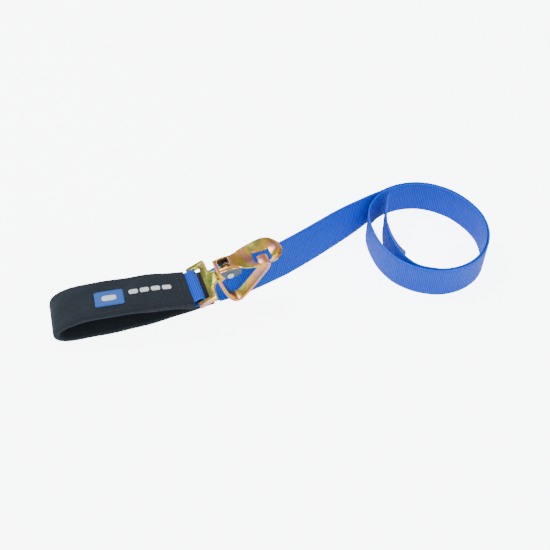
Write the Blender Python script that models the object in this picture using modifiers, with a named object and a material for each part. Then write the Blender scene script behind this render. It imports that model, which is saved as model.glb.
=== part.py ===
"""Webbing tie down with a sleeved axle loop and a sprung flat snap hook.

The strap lies on the ground plane z = 0. +X runs along its length, from the closed end of the
sleeved loop to the standing coil, and +Z is up. Places are written in millimetres in this file
and turned into metres by mm(). The hook has its own frame: X from the slot bar to the hook's tip,
Y across the plate, Z out of the plate's upper face, origin at the neck.
"""
import math

import bmesh
import bpy
from mathutils import Euler, Matrix, Vector

# Driving dimensions, in millimetres
WEBBING_WIDTH = 50.8
WEBBING_THICKNESS = 2.2
PLY_GAP = 0.5
SLEEVE_WIDTH = 56.0
SLEEVE_WALL = 1.6
SLEEVE_HALF_HEIGHT = 3.8
THREAD_HEIGHT = 0.6
TWIST_CLEARANCE = 0.2
TOUCHING_GAP = 0.35

HOOK_NECK = (-78.9, -28.0, 61.0)
HOOK_AZIMUTH = 7.0
HOOK_PITCH = 22.7
HOOK_ROLL = -4.8
BADGE_THICKNESS = 0.9
PLATE_THICKNESS = 5.0
STRIP_THICKNESS = 4.6
STRIP_WIDTH = 16.0
SLOT_BAR_X = -34.5
RIVET_X, RIVET_Z = 12.7, -0.6
RIVET_RADIUS = 2.5
LATCH_SHEET = 1.5
LATCH_HALF_WIDTH = 11.5
WINDOW_X = (46.0, 68.0)
NOTCH_X = (52.0, 64.0)
NECK_X = (6.0, 20.0)
WINDOW_HALF_WIDTH = 9.6

# The whole model's middle in plan, which becomes the origin
CENTRE_X, CENTRE_Y = -4.41, -4.59

# Lower edge of the tie webbing on the ground (x, y) and the lean of its width above the ground
TIE_RUN = [
    (-80, -26, 1), (-66, -24.4, 10), (-50, -21.4, 24), (-35, -18.4, 42), (-18, -13.6, 56),
    (0, -8.0, 64), (18, -2.0, 67), (36, 5.4, 68), (55, 13.2, 68.5), (74, 22.0, 69.5),
    (94, 31.4, 71), (114, 41.2, 74), (134, 52.0, 80), (150, 61.6, 86),
]
COIL_TURN = [
    (166, 69), (183, 73.6), (202, 74.6), (223, 70.8), (244, 60), (263, 42.5), (277, 19), (284, -7),
    (281.5, -33), (270, -56.5), (252, -73.5), (229, -82.6), (205, -83.4),
]
COIL_LEFT_WALL = [
    (184, -77), (164.5, -65), (148, -47), (137.6, -23), (134, 3), (135.6, 27), (142.6, 45),
    (154, 57.8),
]
COIL_TAIL = [
    (188, -74.6), (172, -65), (161, -48.5), (155.4, -27), (154, -6), (156, 13), (161.6, 34),
    (169, 51), (176, 62.5),
]
COIL_CENTRE = (208, -5)
PLY_PITCH = 3.1
UPRIGHT = 90

# Centre line of the axle webbing and its sleeve, from the hook's slot bar round to the splice
LOOP_UPPER = [
    (-119.4, -32.6, 46.2), (-137, -28.6, 45.2), (-160, -24.6, 44.4), (-195, -21.2, 43.6), (-230, -18.8, 42.6),
    (-256, -17.4, 40.2), (-275, -16.6, 34.4), (-286.6, -16.2, 26.4), (-290.4, -16, 17.6),
]
LOOP_LOWER = [
    (-286.4, -16, 9.6), (-274, -16, 5.2), (-256, -16.2, 4.1), (-230, -16, 3.9), (-195, -14.6, 3.9),
    (-160, -11.8, 3.9), (-125, -7.2, 3.9), (-104, -4.0, 4.3), (-87.5, -1.9, 5.2),
]


def mm(*values):
    return Vector([value * 0.001 for value in values])


def clear_scene():
    for item in list(bpy.data.objects):
        bpy.data.objects.remove(item)


def make_material(name, colour, roughness, metallic=0.0):
    material = bpy.data.materials.new(name)
    material.use_nodes = True
    shader = material.node_tree.nodes["Principled BSDF"]
    shader.inputs["Base Color"].default_value = (*colour, 1.0)
    shader.inputs["Roughness"].default_value = roughness
    shader.inputs["Metallic"].default_value = metallic
    return material


def link(name, data, material=None, parent=None):
    """A new object in the model's collection."""
    item = bpy.data.objects.new(name, data)
    collection.objects.link(item)
    if material:
        data.materials.append(material)
    item.parent = parent
    return item


def solidify(item, thickness, offset=0.0):
    modifier = item.modifiers.new("Thickness", "SOLIDIFY")
    modifier.thickness = thickness * 0.001
    modifier.offset = offset
    modifier.use_even_offset = True
    return item


def bevel(item, width, segments=1, angle=35):
    modifier = item.modifiers.new("Edges", "BEVEL")
    modifier.width = width * 0.001
    modifier.segments = segments
    modifier.limit_method = "ANGLE"
    modifier.angle_limit = math.radians(angle)
    return item


def boolean(item, other, operation):
    modifier = item.modifiers.new(operation.title(), "BOOLEAN")
    modifier.operation = operation
    modifier.solver = "EXACT"
    modifier.object = other
    other.hide_render = True
    other.display_type = "WIRE"
    collection.objects.unlink(other)
    guides.objects.link(other)
    return item


def smooth_shaded(mesh):
    mesh.shade_smooth()
    mesh.set_sharp_from_angle(angle=math.radians(35))


def grid_mesh(name, rows, closed=False, keep=None):
    """A surface through rows of points. A closed row joins its last point to its first."""
    form = bmesh.new()
    verts = [[form.verts.new(point) for point in row] for row in rows]
    across = len(rows[0]) - (0 if closed else 1)
    for i in range(len(rows) - 1):
        for j in range(across):
            if keep is None or keep(i, j):
                k = (j + 1) % len(rows[0])
                form.faces.new((verts[i][j], verts[i][k], verts[i + 1][k]))
                form.faces.new((verts[i][j], verts[i + 1][k], verts[i + 1][j]))
    loose = [vert for vert in form.verts if not vert.link_faces]
    bmesh.ops.delete(form, geom=loose, context="VERTS")
    mesh = bpy.data.meshes.new(name)
    form.to_mesh(mesh)
    form.free()
    smooth_shaded(mesh)
    return mesh


def flat_outline(name, outlines, thickness, material, parent=None):
    """A flat plate in XY, thickness along Z, from closed outlines; inner outlines are holes."""
    curve = bpy.data.curves.new(name, "CURVE")
    curve.dimensions = "2D"
    curve.fill_mode = "BOTH"
    curve.extrude = thickness * 0.0005
    for number, outline in enumerate(outlines):
        spline = curve.splines.new("POLY")
        spline.points.add(len(outline) - 1)
        for point, place in zip(spline.points, outline):
            point.co = (*mm(*place), 0.0, 1.0)
        spline.use_cyclic_u = True
    holder = bpy.data.objects.new(name + "_outline", curve)
    collection.objects.link(holder)
    evaluated = holder.evaluated_get(bpy.context.evaluated_depsgraph_get())
    mesh = bpy.data.meshes.new_from_object(evaluated)
    bpy.data.objects.remove(holder)
    form = bmesh.new()
    form.from_mesh(mesh)
    bmesh.ops.remove_doubles(form, verts=form.verts, dist=0.00001)
    form.to_mesh(mesh)
    form.free()
    mesh.materials.clear()
    return link(name, mesh, material, parent)


def fillet(corners, radius, steps=4):
    """The outline with each corner rounded to the radius, or less where its sides are short."""
    outline = []
    count = len(corners)
    for i in range(count):
        here = Vector(corners[i])
        before = Vector(corners[i - 1]) - here
        after = Vector(corners[(i + 1) % count]) - here
        cut = min(radius, 0.45 * before.length, 0.45 * after.length)
        start, end = here + before.normalized() * cut, here + after.normalized() * cut
        for k in range(steps + 1):
            t = k / steps
            outline.append(tuple((1 - t) ** 2 * start + 2 * t * (1 - t) * here + t * t * end))
    return outline


def smooth_route(points, step):
    """Points about step apart on a Catmull-Rom curve through the route's own points."""
    points = [Vector(point) for point in points]
    ends = [2 * points[0] - points[1], *points, 2 * points[-1] - points[-2]]
    route = []
    for a, b, c, d in zip(ends, ends[1:], ends[2:], ends[3:]):
        count = max(1, round((c - b).xyz.length / step))
        for k in range(count):
            t = k / count
            route.append(
                0.5 * (2 * b + (c - a) * t + (2 * a - 5 * b + 4 * c - d) * t * t
                       + (3 * b - a - 3 * c + d) * t ** 3)
            )
    return [*route, points[-1]]


class Strap:
    """A band's centre line with its direction across and its upper normal at each station."""

    def __init__(self, centres, acrosses):
        self.centres = centres
        self.acrosses = []
        self.normals = []
        self.lengths = [0.0]
        for i, centre in enumerate(centres):
            along = (centres[min(i + 1, len(centres) - 1)] - centres[max(i - 1, 0)]).normalized()
            across = acrosses[i].normalized()
            self.acrosses.append(across)
            self.normals.append(along.cross(across).normalized())
            if i:
                self.lengths.append(self.lengths[-1] + (centre - centres[i - 1]).length)

    def at(self, distance):
        """(centre, across, normal) at a distance in metres along the band."""
        i = 1
        while i < len(self.lengths) - 1 and self.lengths[i] < distance:
            i += 1
        t = (distance - self.lengths[i - 1]) / (self.lengths[i] - self.lengths[i - 1])
        mix = [
            values[i - 1].lerp(values[i], t)
            for values in (self.centres, self.acrosses, self.normals)
        ]
        return mix[0], mix[1].normalized(), mix[2].normalized()

    def point(self, distance, offset, height):
        """The place at (distance, offset) on the band, lifted square to its twisted surface."""
        before, here, after = (
            self.at((distance + step) * 0.001) for step in (-0.5, 0.0, 0.5)
        )
        across = here[1]
        along = (after[0] + after[1] * offset * 0.001) - (before[0] + before[1] * offset * 0.001)
        normal = along.cross(across).normalized()
        return here[0] + across * offset * 0.001 + normal * height * 0.001

    def row(self, distance, height=0.0, width=WEBBING_WIDTH):
        return [self.point(distance, offset, height) for offset in spread(-width / 2, width / 2, 4)]

    def patch(self, name, distances, offsets, height, thickness, material, keep=None):
        """A thin piece lying on the band; height(distance) is its middle above the centre line."""
        rows = [
            [self.point(distance, offset, height(distance)) for offset in offsets]
            for distance in distances
        ]
        mesh = grid_mesh(name, rows, keep=keep)
        return solidify(link(name, mesh, material, root), thickness)


def ribbon(name, rows, thickness, material):
    return solidify(link(name, grid_mesh(name, rows), material, root), thickness)


def spread(start, end, count):
    return [start + (end - start) * i / count for i in range(count + 1)]


def tie_strap():
    """The tie webbing's stations, from its lower edge on the ground."""
    centre = Vector(COIL_CENTRE)
    coil = [(x, y, UPRIGHT) for x, y in COIL_TURN + COIL_LEFT_WALL]
    second = []
    for x, y in COIL_TURN:
        inward = (centre - Vector((x, y))).normalized() * PLY_PITCH
        second.append((x + inward.x, y + inward.y, UPRIGHT))
    tail = [(x, y, UPRIGHT) for x, y in COIL_TAIL]
    route = smooth_route([Vector(point) for point in TIE_RUN + coil + second + tail], 3.5)
    route = route[:LAP_STATIONS] + route[LAP_STATIONS:-1:2] + route[-1:]
    centres, acrosses = [], []
    for i, (x, y, lean) in enumerate(route):
        before, after = route[max(i - 1, 0)], route[min(i + 1, len(route) - 1)]
        along = Vector((after.x - before.x, after.y - before.y, 0)).normalized()
        side = Vector((-along.y, along.x, 0))
        lean = math.radians(lean)
        across = side * math.cos(lean) + Vector((0, 0, 1)) * math.sin(lean)
        lift = WEBBING_THICKNESS / 2 * math.cos(lean)
        edge = Vector((x, y, lift))
        centres.append((edge + across * WEBBING_WIDTH / 2) * 0.001)
        acrosses.append(across)
    return Strap(centres, acrosses)


def hook_point(x, y, z):
    return hook_frame @ mm(x, y, z)


def loop_strap(first):
    """The axle loop's middle surface from the point first, in the hook's frame, to the splice."""
    points = [hook_point(*first) * 1000, *LOOP_UPPER, *LOOP_LOWER]
    route = smooth_route(points, 6.0)
    hook_across = hook_frame.to_3x3() @ Vector((0, 1, 0))
    level = Vector((0, 1, 0))
    centres, acrosses = [], []
    travelled = 0.0
    for i, point in enumerate(route):
        if i:
            travelled += (point - route[i - 1]).length
        share = min(max(travelled - 12.0, 0.0) / 60.0, 1.0)
        centres.append(point * 0.001)
        acrosses.append(hook_across.lerp(level, share))
    return Strap(centres, acrosses)


# Distance of each point along the loop from the slot bar, and the sleeve's half height there
SLEEVE_HEIGHTS = [(8, 7.4), (20, 6.4), (30, 5.4), (58, 5.2), (80, SLEEVE_HALF_HEIGHT)]
SLEEVE_START = 8.0
EDGE_RADIUS = 2.2
EYE_RADIUS = 5.9
EYE_TAPER = 20.0
FOLDED_PLY_END = 52.0
PLY_OFFSET = (WEBBING_THICKNESS + PLY_GAP) / 2
TWO_PLIES_UNTIL = 62.0
ONE_PLY_FROM = 82.0
SPLICE_LENGTH = 38.0
LAP_STATIONS = 16


def between(table, value):
    """The table's value at a place between its (place, value) pairs, level beyond its ends."""
    for (a, low), (b, high) in zip(table, table[1:]):
        if value < b:
            return low + (high - low) * max(0.0, value - a) / (b - a)
    return table[-1][1]


def axle_webbing():
    """Folded end, eye round the slot bar, upper layer, fold, lower layer and lapped end."""
    spreads = [(0, EYE_RADIUS), (7, 4.4), (14, 2.2), (EYE_TAPER, PLY_OFFSET)]
    rows = [loop.row(distance, PLY_OFFSET) for distance in spread(FOLDED_PLY_END, EYE_TAPER, 5)]
    rows += [loop.row(distance, between(spreads, distance)) for distance in (14, 7)]
    bar, across, normal = loop.at(0.0)
    forward = normal.cross(across).normalized()
    for step in range(9):
        turn = math.pi * step / 8
        around = (normal * math.cos(turn) + forward * math.sin(turn)) * EYE_RADIUS * 0.001
        rows.append([bar + around + across * offset * 0.001 for offset in
                     spread(-WEBBING_WIDTH / 2, WEBBING_WIDTH / 2, 4)])
    rows += [loop.row(distance, -between(spreads, distance)) for distance in (7, 14)]
    rises = [(TWO_PLIES_UNTIL, -PLY_OFFSET), (ONE_PLY_FROM, 0.0)]
    for length in loop.lengths:
        if length * 1000 > EYE_TAPER:
            rows.append(loop.row(length * 1000, between(rises, length * 1000)))
    for length in tie.lengths:
        if 0.005 < length <= SPLICE_LENGTH * 0.001:
            rows.append(tie.row(length * 1000, 2 * PLY_OFFSET))
    ribbon("axle_webbing", rows, WEBBING_THICKNESS, blue)


def tube_section(half_width, half_height):
    """The ring of (across, up) points of a flat tube with rounded edges."""
    radius = min(EDGE_RADIUS, half_height)
    ring = []
    for side in (1, -1):
        ring.append((0.0, -half_height * side))
        for rise, first in ((-1, -90), (1, 0)):
            for step in range(3):
                turn = math.radians(first + 45 * step)
                ring.append((side * (half_width - radius + radius * math.cos(turn)),
                             side * (rise * (half_height - radius) + radius * math.sin(turn))))
    return ring


def tube_rows(distances, grow):
    rows = []
    for distance in distances:
        centre, across, normal = loop.at(distance * 0.001)
        half_height = between(SLEEVE_HEIGHTS, distance) + grow
        ring = tube_section(SLEEVE_WIDTH / 2 + grow, half_height)
        rows.append([centre + (across * y + normal * z) * 0.001 for y, z in ring])
    return rows


def sleeve():
    stations = [SLEEVE_START] + [length * 1000 for length in loop.lengths]
    stations = [station for station in stations if station >= SLEEVE_START]
    rows = tube_rows(stations, -SLEEVE_WALL / 2)
    tube = link("axle_sleeve", grid_mesh("axle_sleeve", rows, closed=True), black, root)
    solidify(tube, SLEEVE_WALL)


def distance_at_x(strap, x):
    """How far along the strap, in millimetres, its centre line first passes x."""
    for i, (centre, after) in enumerate(zip(strap.centres, strap.centres[1:])):
        here, there = centre.x * 1000 - x, after.x * 1000 - x
        if here * there <= 0:
            share = here / (here - there)
            return 1000 * (strap.lengths[i] + share * (strap.lengths[i + 1] - strap.lengths[i]))
    raise ValueError(x)


def stitch_lattice(strap, name, distances, offsets, height, material):
    """Thread lines as one lattice: each second cell, both ways, is a thread line."""
    strap.patch(
        name, distances, offsets, height, THREAD_HEIGHT, material,
        keep=lambda i, j: i % 2 == 0 or j % 2 == 0,
    )


def thread_lines(start, end, lines, thread=1.1):
    """Both edges of each of several evenly spaced thread lines."""
    places = spread(start, end - thread, lines - 1)
    return [place + side for place in places for side in (0.0, thread)]


def above(strap_height, thickness, side=1):
    """The height of a piece of a given thickness lying clear of the band's face."""
    def height(distance):
        return side * (strap_height(distance) + TOUCHING_GAP + thickness / 2)
    return height


def sleeve_face(distance):
    return between(SLEEVE_HEIGHTS, distance)


def trim():
    """Badge, label and the rows of stitching that show or hold."""
    start, end = distance_at_x(loop, -199.5), distance_at_x(loop, -235.5)
    on_sleeve = above(sleeve_face, BADGE_THICKNESS, -1)
    loop.patch("sleeve_badge", spread(start, end, 5), (-14.5, -3, 8.5), on_sleeve,
               BADGE_THICKNESS, badge_blue)

    def badge_face(distance):
        return sleeve_face(distance) + TOUCHING_GAP + BADGE_THICKNESS

    on_badge = above(badge_face, THREAD_HEIGHT, -1)
    stitch_lattice(loop, "badge_stitching", thread_lines(start + 1, end - 1, 2, 0.8),
                   thread_lines(-13.5, 7.5, 2, 0.8), on_badge, white)
    middle = (start + end) / 2
    loop.patch("badge_emblem", spread(middle - 9, middle + 9, 3), (-7, -3, 1), on_badge,
               THREAD_HEIGHT, white)
    start, end = distance_at_x(loop, -139.0), distance_at_x(loop, -194.5)
    loop.patch("sleeve_flash", spread(start, end, 14), (-1.8, 1.8, 5.4), on_sleeve,
               BADGE_THICKNESS, white)

    on_sleeve, under_sleeve = above(sleeve_face, THREAD_HEIGHT, -1), above(sleeve_face, THREAD_HEIGHT)
    stitch_lattice(loop, "sleeve_tack_hook_end", thread_lines(13, 20, 2),
                   thread_lines(-22, 22, 2), on_sleeve, black_thread)
    total = loop.lengths[-1] * 1000
    stitch_lattice(loop, "sleeve_tack_splice_end", thread_lines(total - 13, total - 6, 2),
                   thread_lines(-22, 22, 2), under_sleeve, black_thread)
    loop.patch("sleeve_seam", spread(30, distance_at_x(loop, -262), 24), (-24.2, -23),
               on_sleeve, THREAD_HEIGHT, black_thread)

    def folded_face(distance):
        return PLY_OFFSET + WEBBING_THICKNESS / 2

    def lapped_face(distance):
        return 2 * PLY_OFFSET + WEBBING_THICKNESS / 2 + TWIST_CLEARANCE

    def strap_face(distance):
        return WEBBING_THICKNESS / 2 + TWIST_CLEARANCE

    stitch_lattice(loop, "eye_stitching", thread_lines(24, 50, 5), thread_lines(-21, 21, 3),
                   above(folded_face, THREAD_HEIGHT), blue_thread)
    columns = thread_lines(-17, 21, 3)
    stitch_lattice(tie, "splice_stitching_front", thread_lines(8, SPLICE_LENGTH - 3, 4), columns,
                   above(lapped_face, THREAD_HEIGHT), blue_thread)
    stitch_lattice(tie, "splice_stitching_back", thread_lines(14, SPLICE_LENGTH - 3, 3), columns,
                   above(strap_face, THREAD_HEIGHT, -1), blue_thread)
    end = tie.lengths[-1] * 1000
    stitch_lattice(tie, "strap_end_tack", thread_lines(end - 12, end - 5, 2),
                   thread_lines(-21, 21, 2), above(strap_face, THREAD_HEIGHT, -1), blue_thread)


LABEL_ROUTE = [(158.2, 14), (157.2, 2), (157.8, -12), (160.4, -26), (165.2, -38.5)]
LABEL_MIDDLE_Z = 26.0
LABEL_HEIGHT = 42.0
LABEL_THICKNESS = 0.6


def info_label():
    """A blank tag, held along one short side and standing clear of the strap at the other."""
    route = smooth_route([Vector((x, y, LABEL_MIDDLE_Z)) for x, y in LABEL_ROUTE], 5.0)
    up = [Vector((0, 0, 1))] * len(route)
    strap = Strap([point * 0.001 for point in route], up)
    rows = [strap.row(length * 1000, width=LABEL_HEIGHT) for length in strap.lengths]
    ribbon("info_label", rows, LABEL_THICKNESS, white)

    def label_face(distance):
        return LABEL_THICKNESS / 2

    stitch_lattice(strap, "label_stitching", thread_lines(2, 7, 2, 0.8),
                   thread_lines(-19, 19, 2, 0.8), above(label_face, THREAD_HEIGHT, -1), black_thread)


# The hook: its plate's outline and its strip's middle line, in the hook's frame
PLATE_OUTLINE = [
    (-38, -33.5), (-12.8, -33.5), (-12, -15), (-9.4, -9.8), (-4.6, -8), (-4.6, 8), (-9.4, 9.8),
    (-12, 15), (-12.8, 33.5), (-38, 33.5),
]
SLOT_OUTLINE = [(-31, -27.2), (-21, -27.2), (-21, 27.2), (-31, 27.2)]
STRIP_ROUTE = [
    (-10, 0), (-6.4, -0.4), (-4.4, -3.4), (-4.8, -10), (-6.2, -22), (-6.8, -34), (-6, -45),
    (-3.4, -51.6), (2.4, -54.6), (9, -52.8), (18, -48.8), (29, -43.2), (42, -36.2), (51, -31),
    (57.2, -26.6), (59.6, -23), (58.6, -20), (54.6, -17.6), (49.6, -15.8),
]
TIP_TAPER = 12.0
LUG_OUTLINE = [(-6.2, -12), (-6.2, -3), (0, 3.4), (9, 5), (15.5, 4), (18, -0.6), (15.5, -5), (8, -7)]
LUG_THICKNESS = 9.2
EAR_OUTLINE = [
    (3.0, 13.4), (6, 13.8), (12, 12.6), (20, 9.8), (26.5, 6.4), (29, 0), (26, -7), (19, -7.4),
    (10, -6.2), (5.4, 0),
]
EAR_THICKNESS = 1.5
EAR_Y = LATCH_HALF_WIDTH - EAR_THICKNESS / 2
# Each station of the latch plate: its X, middle Z, half width and how far its rim stands up
LATCH_STATIONS = [
    (2.6, 14.0, 11.5, 0), (6, 14.4, 11.5, 0), (12, 13.0, 11.5, 0), (20, 10.0, 11.5, 0),
    (28, 5.4, 13.2, 0.6), (36, 0.2, 17, 2.6), (41, -3.2, 18.8, 4.4), (46, -6.8, 20.2, 6.6),
    (52, -11.2, 21.6, 9.2), (58, -14.2, 22.4, 11), (64, -15.4, 22.4, 11), (68, -15.8, 21.8, 10.2),
    (72, -15.8, 20.4, 9), (76, -15.4, 17.6, 7), (79.6, -14.6, 13.4, 4.4), (82, -13.6, 8.6, 2.2),
    (83.4, -12.8, 5, 1),
]


def circle(x, y, radius, steps=24):
    turns = [2 * math.pi * step / steps for step in range(steps)]
    return [(x + radius * math.cos(turn), y + radius * math.sin(turn)) for turn in turns]


def upright_plate(name, outlines, thickness, y, material):
    """A flat plate standing in the hook's XZ plane, its middle at y."""
    plate = flat_outline(name, outlines, thickness, material, hook)
    plate.data.transform(Matrix.Translation(mm(0, y, 0)) @ Matrix.Rotation(math.pi / 2, 4, "X"))
    return plate


def strip_mesh(name):
    """The hook's bent strip: a chamfered flat bar swept along its route, tapered at the tip."""
    route = smooth_route([Vector((x, 0, z)) for x, z in STRIP_ROUTE], 5.0)
    lengths = [0.0]
    for before, after in zip(route, route[1:]):
        lengths.append(lengths[-1] + (after - before).length)
    rows = []
    half_thickness, chamfer = STRIP_THICKNESS / 2, 0.9
    for i, point in enumerate(route):
        along = (route[min(i + 1, len(route) - 1)] - route[max(i - 1, 0)]).normalized()
        out = Vector((-along.z, 0, along.x))
        left = lengths[-1] - lengths[i]
        half_width = STRIP_WIDTH / 2 - 1.2 * max(0.0, 1 - left / TIP_TAPER) ** 2
        ring = []
        for side_y, side_z in ((1, 1), (-1, 1), (-1, -1), (1, -1)):
            corners = [
                (side_y * half_width, side_z * (half_thickness - chamfer)),
                (side_y * (half_width - chamfer), side_z * half_thickness),
            ]
            ring += corners if side_y * side_z > 0 else corners[::-1]
        rows.append([(point + out * z + Vector((0, y, 0))) * 0.001 for y, z in ring])
    mesh = grid_mesh(name, rows, closed=True)
    form = bmesh.new()
    form.from_mesh(mesh)
    bmesh.ops.holes_fill(form, edges=[edge for edge in form.edges if edge.is_boundary])
    bmesh.ops.recalc_face_normals(form, faces=form.faces)
    form.to_mesh(mesh)
    form.free()
    return mesh


def hook_body():
    outlines = [fillet(PLATE_OUTLINE, 2.6), fillet(SLOT_OUTLINE, 2.0)]
    body = flat_outline("hook_body", outlines, PLATE_THICKNESS, zinc, hook)
    bevel(body, 0.8)
    strip = link("hook_strip", strip_mesh("hook_strip"), zinc, hook)
    boolean(body, strip, "UNION")
    hole = circle(RIVET_X, RIVET_Z, RIVET_RADIUS + TOUCHING_GAP)
    lug = upright_plate("hook_lug", [fillet(LUG_OUTLINE, 3.0), hole], LUG_THICKNESS, 0, zinc)
    boolean(body, lug, "UNION")


def latch_body():
    rows = []
    for x, middle, half_width, lift in LATCH_STATIONS:
        inner = min(WINDOW_HALF_WIDTH, 0.72 * half_width)
        outer = (half_width + inner) / 2
        core = 0.4 * inner
        offsets = [-half_width, -outer, -inner, -core, core, inner, outer, half_width]
        rows.append([mm(x, y, middle + lift * (y / half_width) ** 2) for y in offsets])
    starts = [station[0] for station in LATCH_STATIONS]

    def solid(i, j):
        if NOTCH_X[0] <= starts[i] < NOTCH_X[1] and j < 2:
            return False
        open_middle = any(low <= starts[i] < high for low, high in (WINDOW_X, NECK_X))
        return not (open_middle and 2 <= j <= 4)

    latch = link("hook_latch", grid_mesh("hook_latch", rows, keep=solid), zinc, hook)
    solidify(latch, LATCH_SHEET)
    hole = circle(RIVET_X, RIVET_Z, RIVET_RADIUS + TOUCHING_GAP)
    for side, name in ((-1, "near"), (1, "far")):
        ear = upright_plate("latch_ear_" + name, [fillet(EAR_OUTLINE, 3.0), hole], EAR_THICKNESS,
                            side * EAR_Y, zinc)
        boolean(latch, ear, "UNION")


RIVET_HEAD_RADIUS = 4.3
RIVET_HEAD_HEIGHT = 1.7


def turned(name, profile, material):
    """A turned piece on the rivet's axis from (radius, y) points running down the outer side."""
    mesh = bpy.data.meshes.new(name)
    points = [mm(radius, 0, y) for radius, y in profile]
    mesh.from_pydata(points, [(i, i + 1) for i in range(len(points) - 1)], [])
    item = link(name, mesh, material, hook)
    item.location = mm(RIVET_X, 0, RIVET_Z)
    item.rotation_euler = (-math.pi / 2, 0, 0)
    screw = item.modifiers.new("Turn", "SCREW")
    screw.steps = screw.render_steps = 24
    screw.use_merge_vertices = True
    screw.merge_threshold = 0.00001
    return item


def latch_rivet():
    head_y = LATCH_HALF_WIDTH + TOUCHING_GAP
    crown = head_y + RIVET_HEAD_HEIGHT
    upper = [(0, crown), (2.6, crown - 0.3), (RIVET_HEAD_RADIUS, head_y + 0.5),
             (RIVET_HEAD_RADIUS, head_y), (RIVET_RADIUS, head_y)]
    lower = [(radius, -y) for radius, y in reversed(upper)]
    turned("latch_rivet", upper + lower, steel)


SPRING_WIRE_RADIUS = 0.5
SPRING_RADIUS = 3.9
SPRING_TURNS = 2
SPRING_FROM_Y, SPRING_TO_Y = 5.6, 9.1
SPRING_BACK_LEG = [(-8, 4), (1, 4.6), (6.4, 3.8)]
SPRING_FRONT_LEG_LENGTH = 9.0


def latch_spring():
    """A torsion spring round the rivet, one leg on the hook's neck and one under the latch."""
    start, end = math.radians(150), math.radians(315 + 360 * SPRING_TURNS)
    points = [Vector((x, SPRING_FROM_Y, z)) for x, z in SPRING_BACK_LEG]
    steps = 12 * SPRING_TURNS + 6
    for step in range(steps + 1):
        turn = start + (end - start) * step / steps
        y = SPRING_FROM_Y + (SPRING_TO_Y - SPRING_FROM_Y) * step / steps
        points.append(Vector((RIVET_X + SPRING_RADIUS * math.cos(turn), y,
                              RIVET_Z + SPRING_RADIUS * math.sin(turn))))
    forward = Vector((-math.sin(end), 0, math.cos(end)))
    points.append(points[-1] + forward * SPRING_FRONT_LEG_LENGTH)
    curve = bpy.data.curves.new("latch_spring", "CURVE")
    curve.dimensions = "3D"
    curve.bevel_depth = SPRING_WIRE_RADIUS * 0.001
    curve.bevel_resolution = 1
    curve.use_fill_caps = True
    spline = curve.splines.new("POLY")
    spline.points.add(len(points) - 1)
    for node, point in zip(spline.points, points):
        node.co = (*(point * 0.001), 1.0)
    link("latch_spring", curve, steel, hook)


clear_scene()
collection = bpy.data.collections.new("tie_down")
guides = bpy.data.collections.new("guides")
bpy.context.scene.collection.children.link(collection)
bpy.context.scene.collection.children.link(guides)

blue = make_material("webbing_blue", (0.0, 0.13, 0.82), 0.55)
black = make_material("sleeve_black", (0.012, 0.018, 0.026), 0.9)
zinc = make_material("zinc_gold", (0.62, 0.50, 0.22), 0.3, 1.0)
steel = make_material("rivet_steel", (0.62, 0.63, 0.66), 0.35, 1.0)
badge_blue = make_material("badge_blue", (0.0, 0.2, 0.62), 0.5)
white = make_material("label_white", (0.8, 0.8, 0.8), 0.5)
blue_thread = make_material("thread_blue", (0.0, 0.06, 0.4), 0.7)
black_thread = make_material("thread_black", (0.01, 0.01, 0.012), 0.8)

root = bpy.data.objects.new("tie_down", None)
collection.objects.link(root)
root.location = mm(-CENTRE_X, -CENTRE_Y, 0)
hook = bpy.data.objects.new("hook", None)
collection.objects.link(hook)
hook.parent = root
turns = [math.radians(angle) for angle in (HOOK_ROLL, -HOOK_PITCH, HOOK_AZIMUTH)]
hook_frame = Matrix.Translation(mm(*HOOK_NECK)) @ Euler(turns, "XYZ").to_matrix().to_4x4()
hook.matrix_local = hook_frame

tie = tie_strap()
loop = loop_strap((SLOT_BAR_X, 0, 0))
ribbon("tie_webbing", [tie.row(length * 1000) for length in tie.lengths], WEBBING_THICKNESS, blue)
axle_webbing()
sleeve()
trim()
info_label()
hook_body()
latch_body()
latch_rivet()
latch_spring()
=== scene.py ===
"""Detailed model of a webbing tie down: sleeved axle loop, sprung flat snap hook and coiled strap.

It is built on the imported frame. Routes and outlines are in millimetres and become metres in mm()
and Strap; the hook's own frame has X from its slot bar to its tip, Y across its plate and Z out
of the plate's upper face.
"""
import math

import bmesh
import bpy
from mathutils import Euler, Matrix, Vector


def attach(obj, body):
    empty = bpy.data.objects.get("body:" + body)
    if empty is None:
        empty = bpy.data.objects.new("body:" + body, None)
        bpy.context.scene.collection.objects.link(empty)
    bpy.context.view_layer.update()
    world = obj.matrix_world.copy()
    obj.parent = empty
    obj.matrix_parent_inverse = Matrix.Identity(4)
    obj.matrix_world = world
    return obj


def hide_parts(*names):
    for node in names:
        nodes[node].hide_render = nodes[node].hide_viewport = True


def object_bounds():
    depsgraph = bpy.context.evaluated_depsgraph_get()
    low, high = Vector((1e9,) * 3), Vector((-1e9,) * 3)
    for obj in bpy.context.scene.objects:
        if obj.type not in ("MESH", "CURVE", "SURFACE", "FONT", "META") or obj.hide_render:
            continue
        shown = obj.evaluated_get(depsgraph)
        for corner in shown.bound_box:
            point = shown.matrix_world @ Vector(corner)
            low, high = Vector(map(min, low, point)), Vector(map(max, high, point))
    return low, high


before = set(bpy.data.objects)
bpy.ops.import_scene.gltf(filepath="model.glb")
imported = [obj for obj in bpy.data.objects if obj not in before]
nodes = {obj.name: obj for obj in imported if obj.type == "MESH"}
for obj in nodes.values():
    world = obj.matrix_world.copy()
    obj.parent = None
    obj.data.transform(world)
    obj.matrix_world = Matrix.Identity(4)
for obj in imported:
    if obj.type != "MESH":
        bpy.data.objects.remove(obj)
cad_low, cad_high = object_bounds()

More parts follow.
